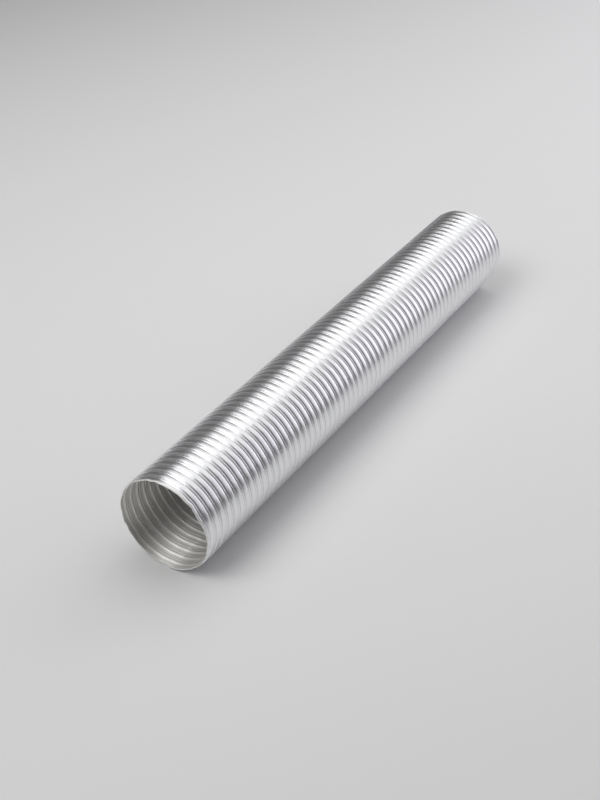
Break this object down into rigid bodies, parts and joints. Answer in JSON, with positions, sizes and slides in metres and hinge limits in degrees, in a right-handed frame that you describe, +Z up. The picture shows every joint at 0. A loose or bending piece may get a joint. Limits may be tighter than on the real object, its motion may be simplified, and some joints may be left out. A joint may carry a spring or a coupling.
{
  "type": "flexible air duct",
  "caption": "Semi-rigid aluminium air duct: a ribbed tube wound from one lock-seamed strip, open at both cut ends, that bends both ways and draws out.",
  "frame": {"origin": "on the resting plane, under the middle of the duct", "axes": "+X along the duct from the near end to the far end, +Z up from the resting plane"},
  "size_m": [0.6548, 0.104, 0.1035],
  "materials": {
    "aluminium_strip": "satin"
  },
  "bodies": {
    "near_end": {"near_cuff": "aluminium_strip", "flex_turn_01": "aluminium_strip"},
    "turn_pair_01": {"stiff_turn_01": "aluminium_strip", "flex_turn_02": "aluminium_strip"},
    "turn_pair_02": {"stiff_turn_02": "aluminium_strip", "flex_turn_03": "aluminium_strip"},
    "turn_pair_03": {"stiff_turn_03": "aluminium_strip", "flex_turn_04": "aluminium_strip"},
    "turn_pair_04": {"stiff_turn_04": "aluminium_strip", "flex_turn_05": "aluminium_strip"},
    "turn_pair_05": {"stiff_turn_05": "aluminium_strip", "flex_turn_06": "aluminium_strip"},
    "turn_pair_06": {"stiff_turn_06": "aluminium_strip", "flex_turn_07": "aluminium_strip"},
    "turn_pair_07": {"stiff_turn_07": "aluminium_strip", "flex_turn_08": "aluminium_strip"},
    "turn_pair_08": {"stiff_turn_08": "aluminium_strip", "flex_turn_09": "aluminium_strip"},
    "turn_pair_09": {"stiff_turn_09": "aluminium_strip", "flex_turn_10": "aluminium_strip"},
    "turn_pair_10": {"stiff_turn_10": "aluminium_strip", "flex_turn_11": "aluminium_strip"},
    "turn_pair_11": {"stiff_turn_11": "aluminium_strip", "flex_turn_12": "aluminium_strip"},
    "turn_pair_12": {"stiff_turn_12": "aluminium_strip", "flex_turn_13": "aluminium_strip"},
    "turn_pair_13": {"stiff_turn_13": "aluminium_strip", "flex_turn_14": "aluminium_strip"},
    "turn_pair_14": {"stiff_turn_14": "aluminium_strip", "flex_turn_15": "aluminium_strip"},
    "turn_pair_15": {"stiff_turn_15": "aluminium_strip", "flex_turn_16": "aluminium_strip"},
    "turn_pair_16": {"stiff_turn_16": "aluminium_strip", "flex_turn_17": "aluminium_strip"},
    "turn_pair_17": {"stiff_turn_17": "aluminium_strip", "flex_turn_18": "aluminium_strip"},
    "turn_pair_18": {"stiff_turn_18": "aluminium_strip", "flex_turn_19": "aluminium_strip"},
    "turn_pair_19": {"stiff_turn_19": "aluminium_strip", "flex_turn_20": "aluminium_strip"},
    "turn_pair_20": {"stiff_turn_20": "aluminium_strip", "flex_turn_21": "aluminium_strip"},
    "turn_pair_21": {"stiff_turn_21": "aluminium_strip", "flex_turn_22": "aluminium_strip"},
    "turn_pair_22": {"stiff_turn_22": "aluminium_strip", "flex_turn_23": "aluminium_strip"},
    "turn_pair_23": {"stiff_turn_23": "aluminium_strip", "flex_turn_24": "aluminium_strip"},
    "turn_pair_24": {"stiff_turn_24": "aluminium_strip", "flex_turn_25": "aluminium_strip"},
    "turn_pair_25": {"stiff_turn_25": "aluminium_strip", "flex_turn_26": "aluminium_strip"},
    "turn_pair_26": {"stiff_turn_26": "aluminium_strip", "flex_turn_27": "aluminium_strip"},
    "turn_pair_27": {"stiff_turn_27": "aluminium_strip", "flex_turn_28": "aluminium_strip"},
    "turn_pair_28": {"stiff_turn_28": "aluminium_strip", "flex_turn_29": "aluminium_strip"},
    "far_end": {"far_cuff": "aluminium_strip"}
  },
  "joints": [
    {"name": "near_side_bend", "type": "hinge", "parent": "near_end", "child": "turn_pair_01", "pos_m": [-0.27776, 0, 0.0515], "axis": [0, 0, 1], "range_deg": [-8.5, 8.5], "deforming": ["flex_turn_01"]},
    {"name": "near_lift_bend", "type": "hinge", "parent": "turn_pair_01", "child": "turn_pair_02", "pos_m": [-0.25792, 0, 0.0515], "axis": [0, -1, 0], "range_deg": [-8.5, 8.5], "deforming": ["flex_turn_02"]},
    {"name": "stretch", "type": "slide", "parent": "turn_pair_02", "child": "turn_pair_03", "axis": [1, 0, 0], "range_m": [-0.0075, 0.004], "deforming": ["flex_turn_03"]},
    {"name": "near_side_bend_2", "type": "hinge", "parent": "turn_pair_03", "child": "turn_pair_04", "pos_m": [-0.21824, 0, 0.0515], "axis": [0, 0, 1], "range_deg": [-8.5, 8.5], "deforming": ["flex_turn_04"]},
    {"name": "near_lift_bend_2", "type": "hinge", "parent": "turn_pair_04", "child": "turn_pair_05", "pos_m": [-0.1984, 0, 0.0515], "axis": [0, -1, 0], "range_deg": [-8.5, 8.5], "deforming": ["flex_turn_05"]},
    {"name": "near_side_bend_3", "type": "hinge", "parent": "turn_pair_05", "child": "turn_pair_06", "pos_m": [-0.17856, 0, 0.0515], "axis": [0, 0, 1], "range_deg": [-8.5, 8.5], "deforming": ["flex_turn_06"]},
    {"name": "stretch_2", "type": "slide", "parent": "turn_pair_06", "child": "turn_pair_07", "axis": [1, 0, 0], "range_m": [-0.0075, 0.004], "deforming": ["flex_turn_07"]},
    {"name": "near_lift_bend_3", "type": "hinge", "parent": "turn_pair_07", "child": "turn_pair_08", "pos_m": [-0.13888, 0, 0.0515], "axis": [0, -1, 0], "range_deg": [-8.5, 8.5], "deforming": ["flex_turn_08"]},
    {"name": "near_side_bend_4", "type": "hinge", "parent": "turn_pair_08", "child": "turn_pair_09", "pos_m": [-0.11904, 0, 0.0515], "axis": [0, 0, 1], "range_deg": [-8.5, 8.5], "deforming": ["flex_turn_09"]},
    {"name": "near_lift_bend_4", "type": "hinge", "parent": "turn_pair_09", "child": "turn_pair_10", "pos_m": [-0.0992, 0, 0.0515], "axis": [0, -1, 0], "range_deg": [-8.5, 8.5], "deforming": ["flex_turn_10"]},
    {"name": "stretch_3", "type": "slide", "parent": "turn_pair_10", "child": "turn_pair_11", "axis": [1, 0, 0], "range_m": [-0.0075, 0.004], "deforming": ["flex_turn_11"]},
    {"name": "near_side_bend_5", "type": "hinge", "parent": "turn_pair_11", "child": "turn_pair_12", "pos_m": [-0.05952, 0, 0.0515], "axis": [0, 0, 1], "range_deg": [-8.5, 8.5], "deforming": ["flex_turn_12"]},
    {"name": "near_lift_bend_5", "type": "hinge", "parent": "turn_pair_12", "child": "turn_pair_13", "pos_m": [-0.03968, 0, 0.0515], "axis": [0, -1, 0], "range_deg": [-8.5, 8.5], "deforming": ["flex_turn_13"]},
    {"name": "near_side_bend_6", "type": "hinge", "parent": "turn_pair_13", "child": "turn_pair_14", "pos_m": [-0.01984, 0, 0.0515], "axis": [0, 0, 1], "range_deg": [-8.5, 8.5], "deforming": ["flex_turn_14"]},
    {"name": "stretch_4", "type": "slide", "parent": "turn_pair_14", "child": "turn_pair_15", "axis": [1, 0, 0], "range_m": [-0.0075, 0.004], "deforming": ["flex_turn_15"]},
    {"name": "far_lift_bend", "type": "hinge", "parent": "turn_pair_15", "child": "turn_pair_16", "pos_m": [0.01984, 0, 0.0515], "axis": [0, -1, 0], "range_deg": [-8.5, 8.5], "deforming": ["flex_turn_16"]},
    {"name": "far_side_bend", "type": "hinge", "parent": "turn_pair_16", "child": "turn_pair_17", "pos_m": [0.03968, 0, 0.0515], "axis": [0, 0, 1], "range_deg": [-8.5, 8.5], "deforming": ["flex_turn_17"]},
    {"name": "far_lift_bend_2", "type": "hinge", "parent": "turn_pair_17", "child": "turn_pair_18", "pos_m": [0.05952, 0, 0.0515], "axis": [0, -1, 0], "range_deg": [-8.5, 8.5], "deforming": ["flex_turn_18"]},
    {"name": "stretch_5", "type": "slide", "parent": "turn_pair_18", "child": "turn_pair_19", "axis": [1, 0, 0], "range_m": [-0.0075, 0.004], "deforming": ["flex_turn_19"]},
    {"name": "far_side_bend_2", "type": "hinge", "parent": "turn_pair_19", "child": "turn_pair_20", "pos_m": [0.0992, 0, 0.0515], "axis": [0, 0, 1], "range_deg": [-8.5, 8.5], "deforming": ["flex_turn_20"]},
    {"name": "far_lift_bend_3", "type": "hinge", "parent": "turn_pair_20", "child": "turn_pair_21", "pos_m": [0.11904, 0, 0.0515], "axis": [0, -1, 0], "range_deg": [-8.5, 8.5], "deforming": ["flex_turn_21"]},
    {"name": "far_side_bend_3", "type": "hinge", "parent": "turn_pair_21", "child": "turn_pair_22", "pos_m": [0.13888, 0, 0.0515], "axis": [0, 0, 1], "range_deg": [-8.5, 8.5], "deforming": ["flex_turn_22"]},
    {"name": "stretch_6", "type": "slide", "parent": "turn_pair_22", "child": "turn_pair_23", "axis": [1, 0, 0], "range_m": [-0.0075, 0.004], "deforming": ["flex_turn_23"]},
    {"name": "far_lift_bend_4", "type": "hinge", "parent": "turn_pair_23", "child": "turn_pair_24", "pos_m": [0.17856, 0, 0.0515], "axis": [0, -1, 0], "range_deg": [-8.5, 8.5], "deforming": ["flex_turn_24"]},
    {"name": "far_side_bend_4", "type": "hinge", "parent": "turn_pair_24", "child": "turn_pair_25", "pos_m": [0.1984, 0, 0.0515], "axis": [0, 0, 1], "range_deg": [-8.5, 8.5], "deforming": ["flex_turn_25"]},
    {"name": "far_lift_bend_5", "type": "hinge", "parent": "turn_pair_25", "child": "turn_pair_26", "pos_m": [0.21824, 0, 0.0515], "axis": [0, -1, 0], "range_deg": [-8.5, 8.5], "deforming": ["flex_turn_26"]},
    {"name": "stretch_7", "type": "slide", "parent": "turn_pair_26", "child": "turn_pair_27", "axis": [1, 0, 0], "range_m": [-0.0075, 0.004], "deforming": ["flex_turn_27"]},
    {"name": "far_side_bend_5", "type": "hinge", "parent": "turn_pair_27", "child": "turn_pair_28", "pos_m": [0.25792, 0, 0.0515], "axis": [0, 0, 1], "range_deg": [-8.5, 8.5], "deforming": ["flex_turn_28"]},
    {"name": "far_lift_bend_6", "type": "hinge", "parent": "turn_pair_28", "child": "far_end", "pos_m": [0.27776, 0, 0.0515], "axis": [0, -1, 0], "range_deg": [-8.5, 8.5], "deforming": ["flex_turn_29"]}
  ],
  "couplings": [
    {"joint": "near_side_bend_2", "follows": "near_side_bend", "ratio": 1},
    {"joint": "near_lift_bend_2", "follows": "near_lift_bend", "ratio": 1},
    {"joint": "near_side_bend_3", "follows": "near_side_bend", "ratio": 1},
    {"joint": "stretch_2", "follows": "stretch", "ratio": 1},
    {"joint": "near_lift_bend_3", "follows": "near_lift_bend", "ratio": 1},
    {"joint": "near_side_bend_4", "follows": "near_side_bend", "ratio": 1},
    {"joint": "near_lift_bend_4", "follows": "near_lift_bend", "ratio": 1},
    {"joint": "stretch_3", "follows": "stretch", "ratio": 1},
    {"joint": "near_side_bend_5", "follows": "near_side_bend", "ratio": 1},
    {"joint": "near_lift_bend_5", "follows": "near_lift_bend", "ratio": 1},
    {"joint": "near_side_bend_6", "follows": "near_side_bend", "ratio": 1},
    {"joint": "stretch_4", "follows": "stretch", "ratio": 1},
    {"joint": "far_lift_bend_2", "follows": "far_lift_bend", "ratio": 1},
    {"joint": "stretch_5", "follows": "stretch", "ratio": 1},
    {"joint": "far_side_bend_2", "follows": "far_side_bend", "ratio": 1},
    {"joint": "far_lift_bend_3", "follows": "far_lift_bend", "ratio": 1},
    {"joint": "far_side_bend_3", "follows": "far_side_bend", "ratio": 1},
    {"joint": "stretch_6", "follows": "stretch", "ratio": 1},
    {"joint": "far_lift_bend_4", "follows": "far_lift_bend", "ratio": 1},
    {"joint": "far_side_bend_4", "follows": "far_side_bend", "ratio": 1},
    {"joint": "far_lift_bend_5", "follows": "far_lift_bend", "ratio": 1},
    {"joint": "stretch_7", "follows": "stretch", "ratio": 1},
    {"joint": "far_side_bend_5", "follows": "far_side_bend", "ratio": 1},
    {"joint": "far_lift_bend_6", "follows": "far_lift_bend", "ratio": 1}
  ]
}
